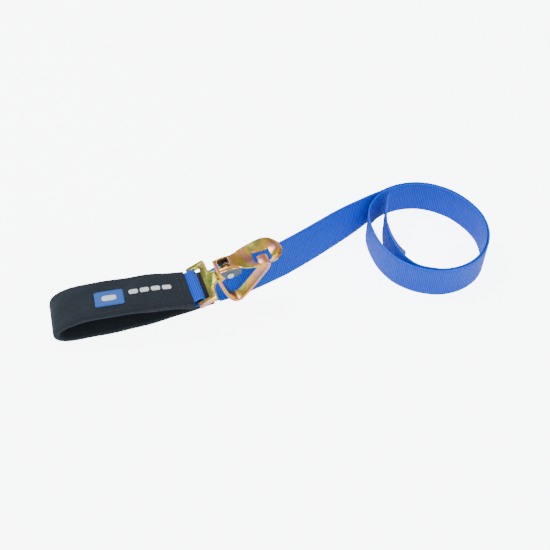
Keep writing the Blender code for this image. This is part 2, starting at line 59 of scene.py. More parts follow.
WEBBING_WIDTH = 50.8
WEBBING_THICKNESS = 2.2
PLY_OFFSET = 1.35
SLEEVE_WIDTH = 56.0
SLEEVE_WALL = 1.6
SLEEVE_EDGE_RADIUS = 2.2
SLEEVE_HEIGHTS = [(8, 7.4), (20, 6.4), (30, 5.4), (58, 5.2), (80, 3.8)]
SLEEVE_START = 8.0
EYE_RADIUS = 5.9
LAP_END = 38.0
ORIGIN = Vector((4.41, 4.59, 0))
HOOK_NECK = (-78.9, -28.0, 61.0)
HOOK_TURNS = (-4.8, -22.7, 7.0)
PLATE_THICKNESS = 5.0
STRIP_THICKNESS = 4.6
STRIP_WIDTH = 16.0
SLOT_BAR_X = -34.5
STRIP_TIP_TAPER = 12.0
LATCH_HALF_WIDTH = 11.5

# Lower edge of the strap on the ground (x, y) and the lean of its width above the ground
TIE_RUN = [
    (-80, -26, 1), (-66, -24.4, 10), (-50, -21.4, 24), (-35, -18.4, 42), (-18, -13.6, 56),
    (0, -8.0, 64), (18, -2.0, 67), (36, 5.4, 68), (55, 13.2, 68.5), (74, 22.0, 69.5),
    (94, 31.4, 71), (114, 41.2, 74), (134, 52.0, 80), (150, 61.6, 86),
]
COIL_TURN = [
    (166, 69), (183, 73.6), (202, 74.6), (223, 70.8), (244, 60), (263, 42.5), (277, 19), (284, -7),
    (281.5, -33), (270, -56.5), (252, -73.5), (229, -82.6), (205, -83.4),
]
COIL_LEFT_WALL = [
    (184, -77), (164.5, -65), (148, -47), (137.6, -23), (134, 3), (135.6, 27), (142.6, 45),
    (154, 57.8),
]
COIL_TAIL = [
    (188, -74.6), (172, -65), (161, -48.5), (155.4, -27), (154, -6), (156, 13), (161.6, 34),
    (169, 51), (176, 62.5),
]
COIL_CENTRE = (208, -5)
PLY_PITCH = 3.1
LOOP_UPPER = [
    (-119.4, -32.6, 46.2), (-137, -28.6, 45.2), (-160, -24.6, 44.4), (-195, -21.2, 43.6),
    (-230, -18.8, 42.6), (-256, -17.4, 40.2), (-275, -16.6, 34.4), (-286.6, -16.2, 26.4),
    (-290.4, -16, 17.6),
]
LOOP_LOWER = [
    (-286.4, -16, 9.6), (-274, -16, 5.2), (-256, -16.2, 4.1), (-230, -16, 3.9), (-195, -14.6, 3.9),
    (-160, -11.8, 3.9), (-125, -7.2, 3.9), (-104, -4.0, 4.3), (-87.5, -1.9, 5.2),
]
LABEL_ROUTE = [(158.2, 14), (157.2, 2), (157.8, -12), (160.4, -26), (165.2, -38.5)]
LABEL_MIDDLE_Z = 26.0
LABEL_HEIGHT = 42.0
LABEL_THICKNESS = 0.5
THREAD_HEIGHT = 1.35
BADGE_X = (-199.5, -235.5)
FLASH_X = (-139, -194.5)
FLASH_BLOCKS = 4
BADGE_THICKNESS, BLOCK_THICKNESS, FLASH_THICKNESS = 0.9, 0.6, 0.8
SEAM_OFFSET = -23.6

PLATE_OUTLINE = [
    (-38, -33.5), (-12.8, -33.5), (-12, -15), (-9.4, -9.8), (-4.6, -8), (-4.6, 8), (-9.4, 9.8),
    (-12, 15), (-12.8, 33.5), (-38, 33.5),
]
SLOT_OUTLINE = [(-31, -27.2), (-21, -27.2), (-21, 27.2), (-31, 27.2)]
STRIP_ROUTE = [
    (-12, 0), (-6.4, -0.4), (-4.4, -3.4), (-4.8, -10), (-6.2, -22), (-6.8, -34), (-6, -45),
    (-3.4, -51.6), (2.4, -54.6), (9, -52.8), (18, -48.8), (29, -43.2), (42, -36.2), (51, -31),
    (57.2, -26.6), (59.6, -23), (58.6, -20), (54.6, -17.6), (49.6, -15.8),
]
LUG_OUTLINE = [(-6.2, -12), (-6.2, -3), (0, 3.4), (9, 5), (15.5, 4), (18, -0.6), (15.5, -5), (8, -7)]
LUG_THICKNESS = 9.2
EAR_OUTLINE = [
    (3.0, 12.8), (6, 13.2), (12, 12.0), (20, 9.2), (26.5, 5.8), (29, 0), (26, -7), (19, -7.4),
    (10, -6.2), (5.4, 0),
]
EAR_THICKNESS = 1.5
# Each station of the latch plate: its X, middle Z, half width and how far its rim stands up
LATCH_STATIONS = [
    (2.6, 14.0, 11.5, 0), (6, 14.4, 11.5, 0), (12, 13.0, 11.5, 0), (20, 10.0, 11.5, 0),
    (28, 5.4, 13.2, 0.6), (36, 0.2, 17, 2.6), (41, -3.2, 18.8, 4.4), (46, -6.8, 20.2, 6.6),
    (52, -11.2, 21.6, 9.2), (58, -14.2, 22.4, 11), (64, -15.4, 22.4, 11), (68, -15.8, 21.8, 10.2),
    (72, -15.8, 20.4, 9), (76, -15.4, 17.6, 7), (79.6, -14.6, 13.4, 4.4), (82, -13.6, 8.6, 2.2),
    (83.4, -12.8, 5, 1),
]
WINDOW_OUTLINE = [
    (46, -9.6), (52, -9.6), (52, -34), (64, -34), (64, -9.6), (68, -9.6), (68, 9.6), (46, 9.6),
]
NECK_OUTLINE = [(6, -8.2), (20, -8.2), (20, 8.2), (6, 8.2)]
LATCH_SHEET = 1.5
LIP_RADIUS = 1.25
CAMERA_LENS = 58.9
CAMERA_OFFSET = (-0.1762, -0.7175, 0.9456)
FLOOR_GAP = 0.0002
FLOOR_GLOW, FLOOR_CAMERA_GLOW = 0.5, 7.0
WORLD_STRENGTH = 0.75
# The world's brightness by the height that a ray leaves at; the darker band shows in the metal
WORLD_LEVELS = [(0.0, 0.9), (0.3, 0.9), (0.5, 0.22), (0.8, 1.0)]


def mm(*values):
    return Vector([value * 0.001 for value in values])


def spread(start, end, count):
    return [start + (end - start) * i / count for i in range(count + 1)]


def between(table, value):
    """The table's value at a place between its (place, value) pairs, level beyond its ends."""
    for (a, low), (b, high) in zip(table, table[1:]):
        if value < b:
            return low + (high - low) * max(0.0, value - a) / (b - a)
    return table[-1][1]


def smooth_route(points, step):
    """Points about step apart on a Catmull-Rom curve through the route's own points."""
    points = [Vector(point) for point in points]
    ends = [2 * points[0] - points[1], *points, 2 * points[-1] - points[-2]]
    route = []
    for a, b, c, d in zip(ends, ends[1:], ends[2:], ends[3:]):
        count = max(1, round((c - b).length / step))
        for k in range(count):
            t = k / count
            route.append(
                0.5 * (2 * b + (c - a) * t + (2 * a - 5 * b + 4 * c - d) * t * t
                       + (3 * b - a - 3 * c + d) * t ** 3)
            )
    return [*route, points[-1]]


class Strap:
    """A band's centre line, direction across and upper normal; distances are in millimetres."""

    def __init__(self, centres, acrosses):
        self.centres = centres
        self.acrosses = [across.normalized() for across in acrosses]
        self.lengths = [0.0]
        for before, after in zip(centres, centres[1:]):
            self.lengths.append(self.lengths[-1] + (after - before).length * 1000)

    def at(self, distance):
        i = 1
        while i < len(self.lengths) - 1 and self.lengths[i] < distance:
            i += 1
        t = (distance - self.lengths[i - 1]) / (self.lengths[i] - self.lengths[i - 1])
        centre = self.centres[i - 1].lerp(self.centres[i], t)
        return centre, self.acrosses[i - 1].lerp(self.acrosses[i], t).normalized()

    def point(self, distance, offset, height):
        """The place at (distance, offset) on the band, lifted square to its twisted surface."""
        before, here, after = (self.at(distance + step) for step in (-1.2, 0.0, 1.2))
        along = (after[0] + after[1] * offset * 0.001) - (before[0] + before[1] * offset * 0.001)
        normal = along.cross(here[1]).normalized()
        return here[0] + here[1] * offset * 0.001 + normal * height * 0.001

    def where_x(self, x):
        """The distance at which the centre line first passes x."""
        for i, (centre, after) in enumerate(zip(self.centres, self.centres[1:])):
            here = (centre.x - ORIGIN.x * 0.001) * 1000 - x
            there = (after.x - ORIGIN.x * 0.001) * 1000 - x
            if here * there <= 0:
                share = here / (here - there)
                return self.lengths[i] + share * (self.lengths[i + 1] - self.lengths[i])
        raise ValueError(x)


hook_frame = Matrix.Translation((ORIGIN + Vector(HOOK_NECK)) * 0.001) @ Euler(
    [math.radians(angle) for angle in HOOK_TURNS], "XYZ").to_matrix().to_4x4()


def tie_strap(step):
    centre = Vector(COIL_CENTRE)
    coil = [(x, y, 90) for x, y in COIL_TURN + COIL_LEFT_WALL]
    for x, y in COIL_TURN:
        inward = (centre - Vector((x, y))).normalized() * PLY_PITCH
        coil.append((x + inward.x, y + inward.y, 90))
    coil += [(x, y, 90) for x, y in COIL_TAIL]
    route = smooth_route(TIE_RUN + coil, step)
    centres, acrosses = [], []
    for i, (x, y, lean) in enumerate(route):
        before, after = route[max(i - 1, 0)], route[min(i + 1, len(route) - 1)]
        along = Vector((after.x - before.x, after.y - before.y, 0)).normalized()
        side = Vector((-along.y, along.x, 0))
        lean = math.radians(lean)
        across = side * math.cos(lean) + Vector((0, 0, 1)) * math.sin(lean)
        edge = Vector((x, y, WEBBING_THICKNESS / 2 * math.cos(lean)))
        centres.append((ORIGIN + edge + across * WEBBING_WIDTH / 2) * 0.001)
        acrosses.append(across)
    return Strap(centres, acrosses)


def loop_strap(step):
    """The axle loop's middle surface from the slot bar to the lap."""
    start = hook_frame @ mm(SLOT_BAR_X, 0, 0)
    route = smooth_route([start * 1000 - ORIGIN, *LOOP_UPPER, *LOOP_LOWER], step)
    hook_across = hook_frame.to_3x3() @ Vector((0, 1, 0))
    centres, acrosses = [], []
    travelled = 0.0
    for i, point in enumerate(route):
        if i:
            travelled += (point - route[i - 1]).length
        share = min(max(travelled - 12.0, 0.0) / 60.0, 1.0)
        centres.append((ORIGIN + point) * 0.001)
        acrosses.append(hook_across.lerp(Vector((0, 1, 0)), share))
    return Strap(centres, acrosses)


def axle_strap():
    """The axle webbing from its folded end round the slot bar and the loop, to its lapped end."""
    spreads = [(0, EYE_RADIUS), (7, 4.4), (14, 2.2), (20, PLY_OFFSET)]
    rises = [(20, -PLY_OFFSET), (62, -PLY_OFFSET), (82, 0.0)]
    stations = [(distance, between(spreads, distance)) for distance in (52, 44, 36, 28, 20, 14, 7)]
    points = [(loop.point(distance, 0, height), loop.at(distance)[1])
              for distance, height in stations]
    bar, across = loop.at(0.0)
    normal = (loop.at(0.8)[0] - bar).cross(across).normalized()
    forward = normal.cross(across).normalized()
    for step in range(13):
        turn = math.pi * step / 12
        around = normal * math.cos(turn) + forward * math.sin(turn)
        points.append((bar + around * EYE_RADIUS * 0.001, across))
    points += [(loop.point(d, 0, -between(spreads, d)), loop.at(d)[1]) for d in (7, 14)]
    for distance in spread(20, loop.lengths[-1], 130):
        points.append((loop.point(distance, 0, between(rises, distance)), loop.at(distance)[1]))
    for distance in spread(8, LAP_END, 12):
        points.append((tie.point(distance, 0, 2 * PLY_OFFSET), tie.at(distance)[1]))
    return Strap(*zip(*points))


def new_piece(name, mesh, material, body, slot, *replaced):
    item = bpy.data.objects.new(name, mesh)
    bpy.context.scene.collection.objects.link(item)
    mesh.materials.clear()
    mesh.materials.append(material)
    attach(item, body)
    if replaced:
        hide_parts(*replaced)
    return item


def shade(mesh, angle=40):
    mesh.shade_smooth()
    mesh.set_sharp_from_angle(angle=math.radians(angle))
    return mesh


def loft(name, rings, closed=True, capped=True, places=None):
    """A skin over rings of points. places holds each point's (along, across) on a strap."""
    form = bmesh.new()
    rows = [[form.verts.new(point) for point in ring] for ring in rings]
    wide = len(rings[0])
    for i in range(len(rows) - 1):
        for j in range(wide if closed else wide - 1):
            k = (j + 1) % wide
            form.faces.new((rows[i][j], rows[i][k], rows[i + 1][k], rows[i + 1][j]))
    if closed and capped:
        form.faces.new(rows[0][::-1])
        form.faces.new(rows[-1])
        bmesh.ops.recalc_face_normals(form, faces=form.faces)
    mesh = bpy.data.meshes.new(name)
    form.to_mesh(mesh)
    form.free()
    if places:
        layer = mesh.attributes.new("strap", "FLOAT_VECTOR", "POINT")
        flat = [value for row in places for place in row for value in (*place, 0.0)]
        layer.data.foreach_set("vector", flat)
    return shade(mesh)


def baked(item, *modifiers):
    """The object with its modifiers applied; each is (type, settings)."""
    for kind, settings in modifiers:
        modifier = item.modifiers.new(kind.title(), kind)
        for key, value in settings.items():
            setattr(modifier, key, value)
    if item.name not in bpy.context.scene.collection.objects:
        bpy.context.scene.collection.objects.link(item)
    bpy.context.view_layer.update()
    evaluated = item.evaluated_get(bpy.context.evaluated_depsgraph_get())
    mesh = bpy.data.meshes.new_from_object(evaluated)
    item.modifiers.clear()
    item.data = mesh
    return item


def webbing_section(width, thickness):
    """(offset, height) round a woven band with soft edges."""
    half, high = width / 2, thickness / 2
    flat = spread(-half + 1.1, half - 1.1, 10)
    edge = [(half - 0.25, high * 0.62), (half, 0.0), (half - 0.25, -high * 0.62)]
    return ([(offset, high) for offset in flat] + edge
            + [(offset, -high) for offset in flat[::-1]]
            + [(-offset, -height) for offset, height in edge])


def band(name, strap, distances, width, thickness):
    """A woven band along a strap, with a ring of points at each distance."""
    section = webbing_section(width, thickness)
    rings = [[strap.point(d, offset, height) for offset, height in section] for d in distances]
    places = [[(d, offset) for offset, height in section] for d in distances]
    return loft(name, rings, places=places)


def stitches(name, strap, height, rows, length=2.6, gap=0.9, radius=0.32):
    """Rows of thread stitches on a band; each row is ((distance, offset), (distance, offset))."""
    form = bmesh.new()
    for start, end in rows:
        start, end = Vector(start), Vector(end)
        run = (end - start).length
        count = max(1, round(run / (length + gap)))
        for number in range(count):
            first = start.lerp(end, number / count)
            last = start.lerp(end, (number + 1 - gap / (length + gap)) / count)
            rings = []
            for share, size in ((0, 0.35), (0.15, 0.85), (0.5, 1), (0.85, 0.85), (1, 0.35)):
                place = first.lerp(last, share)
                lift = height(place.x) if callable(height) else height
                arch = 0.25 * math.sin(math.pi * share) * (1 if lift > 0 else -1)
                middle = strap.point(place.x, place.y, lift + arch)
                beside = strap.point(place.x, place.y, lift + arch + 1)
                up = (beside - middle).normalized()
                toward = strap.point(*first.lerp(last, share + 0.05), lift + arch)
                along = (toward - middle).normalized()
                side = along.cross(up).normalized()
                ring = []
                for corner in range(6):
                    turn = math.pi * corner / 3
                    out = side * math.cos(turn) + up * math.sin(turn) * 0.8
                    ring.append(form.verts.new(middle + out * radius * size * 0.001))
                rings.append(ring)
            for ring, other in zip(rings, rings[1:]):
                for j in range(6):
                    k = (j + 1) % 6
                    form.faces.new((ring[j], ring[k], other[k], other[j]))
            form.faces.new(rings[0][::-1])
            form.faces.new(rings[-1])
    bmesh.ops.recalc_face_normals(form, faces=form.faces)
    mesh = bpy.data.meshes.new(name)
    form.to_mesh(mesh)
    form.free()
    return shade(mesh, 60)


def box_rows(start, end, low, high):
    """The four sides of a box of stitching."""
    return [((start, low), (start, high)), ((start, high), (end, high)),
            ((end, high), (end, low)), ((end, low), (start, low))]


class Shader:
    """A Principled material and short ways to add nodes to it."""

    def __init__(self, name, colour, roughness, metallic=0.0):
        self.material = bpy.data.materials.new(name)
        self.material.use_nodes = True
        self.tree = self.material.node_tree
        self.main = self.tree.nodes["Principled BSDF"]
        self.set("Base Color", (*colour, 1.0))
        self.set("Roughness", roughness)
        self.set("Metallic", metallic)

    def set(self, name, value):
        socket = self.main.inputs[name]
        if isinstance(value, bpy.types.NodeSocket):
            self.tree.links.new(value, socket)
        else:
            socket.default_value = value

    def node(self, kind, inputs, **settings):
        item = self.tree.nodes.new("ShaderNode" + kind)
        for key, value in settings.items():
            setattr(item, key, value)
        for key, value in inputs.items():
            if isinstance(value, bpy.types.NodeSocket):
                self.tree.links.new(value, item.inputs[key])
            else:
                item.inputs[key].default_value = value
        return item

    def math(self, operation, a, b=0.0, c=0.0):
        return self.node("Math", {0: a, 1: b, 2: c}, operation=operation).outputs[0]

    def noise(self, scale, detail=3.0, roughness=0.55, distortion=0.0, vector=None):
        inputs = {"Scale": scale, "Detail": detail, "Roughness": roughness,
                  "Distortion": distortion}
        inputs["Vector"] = vector or self.place()
        return self.node("TexNoise", inputs).outputs["Fac"]

    def place(self):
        return self.node("TexCoord", {}).outputs["Object"]

    def ramp(self, factor, stops):
        item = self.node("ValToRGB", {"Fac": factor})
        elements = item.color_ramp.elements
        while len(elements) < len(stops):
            elements.new(0.5)
        for element, (position, colour) in zip(elements, stops):
            element.position = position
            element.color = (*colour, 1.0)
        return item.outputs["Color"]

    def bump(self, height, strength, distance):
        item = self.node("Bump", {"Height": height, "Strength": strength,
                                  "Distance": distance})
        self.set("Normal", item.outputs["Normal"])


def woven(name, deep, bright, pitch=2.5, warp=1.15, strength=0.9, sheen=0.06):
    """Cross-ribbed webbing: ribs across the band, split into fine yarns along it."""
    shader = Shader(name, bright, 0.42)
    where = shader.node("Attribute", {}, attribute_name="strap").outputs["Vector"]
    split = shader.node("SeparateXYZ", {"Vector": where})
    along, across = split.outputs["X"], split.outputs["Y"]
    waver = shader.noise(60.0, 2.0)
    rib = shader.math("MULTIPLY_ADD", along, 2 * math.pi / pitch, waver)
    rib = shader.math("MULTIPLY_ADD", shader.math("SINE", rib), 0.5, 0.5)
    rib = shader.math("POWER", rib, 0.7)
    yarn = shader.math("MULTIPLY", across, 2 * math.pi / warp)
    yarn = shader.math("MULTIPLY_ADD", shader.math("SINE", yarn), 0.5, 0.5)
    weave = shader.math("MULTIPLY", rib, shader.math("MULTIPLY_ADD", yarn, 0.28, 0.72))
    edge = shader.math("GREATER_THAN", shader.math("ABSOLUTE", across), 24.1)
    weave = shader.math("MAXIMUM", weave, shader.math("MULTIPLY", edge, 0.7))
    wide = shader.noise(11.0, 2.0)
    fine = shader.noise(900.0, 2.0)
    tone = shader.math("ADD", shader.math("MULTIPLY", weave, 0.62),
                       shader.math("MULTIPLY_ADD", wide, 0.3, shader.math("MULTIPLY", fine, 0.1)))
    shader.set("Base Color", shader.ramp(tone, [(0.08, deep), (0.82, bright)]))
    shader.set("Roughness", shader.math("MULTIPLY_ADD", weave, -0.1, 0.5))
    shader.set("Sheen Weight", sheen)
    shader.set("Specular IOR Level", 0.25)
    shader.bump(shader.math("ADD", weave, shader.math("MULTIPLY", fine, 0.12)), strength, 0.0006)
    return shader.material


def fleece():
    """Napped fleece: short fibres, soft mottling and a dusting of lint."""
    shader = Shader("fleece", (0.014, 0.021, 0.031), 0.95)
    nap = shader.noise(1500.0, 4.0, 0.7)
    tuft = shader.noise(260.0, 3.0, 0.6, 0.6)
    wide = shader.noise(30.0, 3.0)
    tone = shader.math("MULTIPLY_ADD", tuft, 0.5, shader.math("MULTIPLY", wide, 0.5))
    shader.set("Base Color", shader.ramp(tone, [
        (0.25, (0.004, 0.007, 0.012)), (0.55, (0.009, 0.015, 0.024)), (0.8, (0.02, 0.03, 0.042))]))
    shader.set("Sheen Weight", 0.12)
    shader.set("Sheen Roughness", 0.55)
    shader.set("Sheen Tint", (0.45, 0.62, 0.8, 1.0))
    height = shader.math("ADD", shader.math("MULTIPLY", nap, 0.5), tuft)
    shader.bump(height, 0.7, 0.0011)
    return shader.material


def zinc(name, seed, warmth=0.0):
    """Yellow chromate on zinc: olive gold drifting to orange, pink, green and dark bronze."""
    shader = Shader(name, (0.6, 0.5, 0.2), 0.24, 1.0)
    moved = shader.node("Mapping", {"Vector": shader.place(), "Location": (seed, seed * 0.7, 0.3)})
    drift = shader.noise(15.0, 1.0, 0.4, 1.2, moved.outputs["Vector"])
    stain = shader.noise(120.0, 3.0, 0.6, 0.8, moved.outputs["Vector"])
    grain = shader.noise(1800.0, 2.0)
    factor = shader.math("ADD", drift, shader.math("MULTIPLY_ADD", stain, 0.07, warmth - 0.035))
    colour = shader.ramp(factor, [
        (0.30, (0.30, 0.50, 0.10)), (0.37, (0.66, 0.62, 0.10)), (0.43, (0.42, 0.36, 0.10)),
        (0.49, (0.88, 0.60, 0.08)), (0.55, (0.92, 0.42, 0.12)), (0.61, (0.86, 0.36, 0.40)),
        (0.67, (0.42, 0.50, 0.26)), (0.75, (0.80, 0.70, 0.16))])
    shader.set("Base Color", colour)
    shader.set("Roughness", shader.math("MULTIPLY_ADD", stain, 0.25, 0.12))
    shader.bump(shader.math("ADD", shader.math("MULTIPLY", grain, 0.2), stain), 0.14, 0.0006)
    return shader.material


def plated(name, colour):
    """Bright zinc plate with a fine grain."""
    shader = Shader(name, colour, 0.3, 1.0)
    grain = shader.noise(900.0, 3.0)
    shader.set("Roughness", shader.math("MULTIPLY_ADD", grain, 0.3, 0.2))
    shader.bump(grain, 0.15, 0.0003)
    return shader.material


def thread(name, colour):
    """Twisted polyester thread."""
    shader = Shader(name, colour, 0.5)
    twist = shader.node("TexWave", {"Vector": shader.place(), "Scale": 700.0, "Distortion": 2.0},
                        bands_direction="DIAGONAL").outputs["Fac"]
    dark = tuple(value * 0.55 for value in colour)
    shader.set("Base Color", shader.ramp(twist, [(0.2, dark), (0.8, colour)]))
    shader.set("Sheen Weight", 0.3)
    shader.bump(twist, 0.4, 0.0002)
    return shader.material


def patch_weave(name, colour, dark):
    """Fine satin weave of a label or badge."""
    shader = Shader(name, colour, 0.55)
    lines = shader.node("TexWave", {"Vector": shader.place(), "Scale": 520.0, "Distortion": 0.6},
                        bands_direction="Y").outputs["Fac"]
    tone = shader.math("MULTIPLY_ADD", lines, 0.7, shader.math("MULTIPLY", shader.noise(200.0), 0.3))
    shader.set("Base Color", shader.ramp(tone, [(0.1, dark), (0.75, colour)]))
    shader.set("Sheen Weight", 0.2)
    shader.bump(lines, 0.35, 0.0002)
    return shader.material


def look_at(item, target):
    item.rotation_euler = (item.location - target).to_track_quat("Z", "Y").to_euler()


def camera():
    data = bpy.data.cameras.new("camera")
    data.lens = CAMERA_LENS
    data.sensor_width = 36.0
    item = bpy.data.objects.new("camera", data)
    bpy.context.scene.collection.objects.link(item)
    target = ORIGIN * 0.001
    item.location = target + Vector(CAMERA_OFFSET)
    look_at(item, target)
    bpy.context.scene.camera = item


def area_light(name, place, target, size, power):
    data = bpy.data.lights.new(name, "AREA")
    data.shape = "RECTANGLE"
    data.size, data.size_y = size
    data.energy = power
    item = bpy.data.objects.new(name, data)
    bpy.context.scene.collection.objects.link(item)
    item.location = place
    look_at(item, Vector(target))


def stage():
    """A pale floor just under the strap, glowing so that it stays nearly white."""
    form = bmesh.new()
    bmesh.ops.create_grid(form, x_segments=1, y_segments=1, size=30.0)
    mesh = bpy.data.meshes.new("floor")
    form.to_mesh(mesh)
    form.free()
    floor = bpy.data.objects.new("floor", mesh)
    bpy.context.scene.collection.objects.link(floor)
    floor.location.z = cad_low.z - FLOOR_GAP
    paper = Shader("floor", (0.9, 0.93, 0.97), 0.8)
    paper.set("Emission Color", (0.93, 0.96, 1.0, 1.0))
    lit = paper.node("LightPath", {}).outputs["Is Camera Ray"]
    paper.set("Emission Strength", paper.math("MULTIPLY_ADD", lit, FLOOR_CAMERA_GLOW, FLOOR_GLOW))
    mesh.materials.append(paper.material)


def studio():
    """A soft world, brighter overhead than at mid height, and three area lights."""
    world = bpy.data.worlds.new("studio")
    world.use_nodes = True
    bpy.context.scene.world = world
    tree = world.node_tree
    background = tree.nodes["Background"]
    place = tree.nodes.new("ShaderNodeTexCoord")
    split = tree.nodes.new("ShaderNodeSeparateXYZ")
    ramp = tree.nodes.new("ShaderNodeValToRGB")
    tree.links.new(place.outputs["Generated"], split.inputs[0])
    tree.links.new(split.outputs["Z"], ramp.inputs["Fac"])
    tree.links.new(ramp.outputs["Color"], background.inputs["Color"])
    elements = ramp.color_ramp.elements
    for position, level in WORLD_LEVELS:
        element = elements.new(position) if position else elements[0]
        element.position = position
        element.color = (level * 0.97, level * 0.985, level, 1)
    background.inputs["Strength"].default_value = WORLD_STRENGTH
    area_light("key", (-0.5, 0.6, 1.3), (0, 0, 0), (0.9, 0.6), 16)
    area_light("fill", (0.9, -0.5, 1.1), (0.05, 0, 0), (0.8, 0.8), 5)
    area_light("front", (-0.2, -1.3, 0.6), (0, 0, 0.03), (0.7, 0.3), 5)


def flat_outline(name, outlines, thickness):
    """A flat plate in XY, thickness along Z, from closed outlines; inner outlines are holes."""
    curve = bpy.data.curves.new(name, "CURVE")
    curve.dimensions = "2D"
    curve.fill_mode = "BOTH"
    curve.extrude = thickness * 0.0005
    for outline in outlines:
        spline = curve.splines.new("POLY")
        spline.points.add(len(outline) - 1)
        for point, place in zip(spline.points, outline):
            point.co = (*mm(*place), 0.0, 1.0)
        spline.use_cyclic_u = True
    holder = bpy.data.objects.new(name + "_outline", curve)
    bpy.context.scene.collection.objects.link(holder)
    bpy.context.view_layer.update()
    evaluated = holder.evaluated_get(bpy.context.evaluated_depsgraph_get())
    mesh = bpy.data.meshes.new_from_object(evaluated)
    bpy.data.objects.remove(holder)
    form = bmesh.new()
    form.from_mesh(mesh)
    bmesh.ops.remove_doubles(form, verts=form.verts, dist=0.00001)
    form.to_mesh(mesh)
    form.free()
    mesh.name = name
    return mesh


def fillet(corners, radius, steps=7):
    """The outline with each corner rounded to the radius, or less where its sides are short."""
    outline = []
    count = len(corners)
    for i in range(count):
        here = Vector(corners[i])
        before = Vector(corners[i - 1]) - here
        after = Vector(corners[(i + 1) % count]) - here
        cut = min(radius, 0.45 * before.length, 0.45 * after.length)
        start, end = here + before.normalized() * cut, here + after.normalized() * cut
        for k in range(steps + 1):
            t = k / steps
            outline.append(tuple((1 - t) ** 2 * start + 2 * t * (1 - t) * here + t * t * end))
    return outline


def bevelled(name, mesh, width, segments=3):
    item = baked(bpy.data.objects.new(name, mesh), ("BEVEL", {
        "width": width * 0.001, "segments": segments, "limit_method": "ANGLE",
        "angle_limit": math.radians(35)}))
    mesh = item.data
    bpy.data.objects.remove(item)
    return shade(mesh, 35)


def standing(mesh, y):
    """Turns a flat plate into the hook's XZ plane, its middle at y."""
    mesh.transform(Matrix.Translation(mm(0, y, 0)) @ Matrix.Rotation(math.pi / 2, 4, "X"))
    return mesh


def strip_mesh():
    """The hook's bent strip: a round-cornered bar swept along its route, tapered at the tip."""
    route = smooth_route([Vector((x, 0, z)) for x, z in STRIP_ROUTE], 1.6)
    left = [0.0]
    for after, before in zip(route[::-1], route[-2::-1]):
        left.append(left[-1] + (after - before).length)
    left = left[::-1]
    rings = []
    for i, point in enumerate(route):
        along = (route[min(i + 1, len(route) - 1)] - route[max(i - 1, 0)]).normalized()
        out = Vector((-along.z, 0, along.x))
        close = max(0.0, 1 - left[i] / STRIP_TIP_TAPER)
        half_width = STRIP_WIDTH / 2 - 1.2 * close ** 2
        half_thickness = STRIP_THICKNESS / 2 - 0.5 * close ** 2
        ring = []
        for side_y, side_z, first in ((1, 1, 0), (-1, 1, 90), (-1, -1, 180), (1, -1, 270)):
            for step in range(4):
                turn = math.radians(first + 30 * step)
                y = side_y * (half_width - 1.2) + 1.2 * math.cos(turn)
                z = side_z * (half_thickness - 1.2) + 1.2 * math.sin(turn)
                ring.append((point + out * z + Vector((0, y, 0))) * 0.001)
        rings.append(ring)
    return loft("strip", rings)


def joined(name, meshes):
    """One mesh of several overlapping ones."""
    form = bmesh.new()
    for mesh in meshes:
        form.from_mesh(mesh)
    whole = bpy.data.meshes.new(name)
    form.to_mesh(whole)
    form.free()
    return whole


def hook_body(material):
    """The slotted plate, the bent strip and the lug as one forging."""
    plate = flat_outline("plate", [fillet(PLATE_OUTLINE, 2.8), fillet(SLOT_OUTLINE, 2.0)],
                         PLATE_THICKNESS)
    plate = bevelled("plate", plate, 0.9)
    lug = standing(flat_outline("lug", [fillet(LUG_OUTLINE, 3.0)], LUG_THICKNESS), 0)
    mesh = joined("hook_forging", [plate, strip_mesh(), bevelled("lug", lug, 0.6)])
    mesh.transform(hook_frame)
    new_piece("hook_forging", shade(mesh, 35), material, "hook", "hook_zinc", "hook_body")


def latch_mesh():
    """The latch's dished sheet, folded down along its neck, with its two openings cut."""
    stations = smooth_route([Vector(station[:3]) for station in LATCH_STATIONS], 1.5)
    lifts = [(station[0], station[3]) for station in LATCH_STATIONS]
    shares = [-1, -0.97, -0.92, -0.84, -0.72, -0.58, -0.42, -0.26, -0.1,
              0.1, 0.26, 0.42, 0.58, 0.72, 0.84, 0.92, 0.97, 1]
    rows = []
    for x, middle, half_width in stations:
        fold = 2.4 * (1 - min(max((x - 22) / 10, 0), 1))
        row = []
        for share in shares:
            drop = fold * max(0.0, (abs(share) - 0.78) / 0.22) ** 2
            lift = between(lifts, x) * abs(share) ** 2.3
            row.append(mm(x, half_width * share, middle + lift - drop))
        rows.append(row)
    mesh = loft("latch_sheet", rows, closed=False)
    sheet = baked(bpy.data.objects.new("latch_sheet", mesh), (
        "SOLIDIFY", {"thickness": LATCH_SHEET * 0.001, "offset": 0.0, "use_even_offset": True}))
    openings = [flat_outline("window", [fillet(outline, 2.6)], 60)
                for outline in (WINDOW_OUTLINE, NECK_OUTLINE)]
    cutter = bpy.data.objects.new("window", joined("windows", openings))
    bpy.context.scene.collection.objects.link(cutter)
    sheet = baked(
        sheet, ("BOOLEAN", {"operation": "DIFFERENCE", "solver": "EXACT", "object": cutter}),
        ("BEVEL", {"width": 0.0004, "segments": 2, "limit_method": "ANGLE",
                   "angle_limit": math.radians(50)}))
    bpy.data.objects.remove(cutter)
    mesh = sheet.data
    bpy.data.objects.remove(sheet)
    return mesh


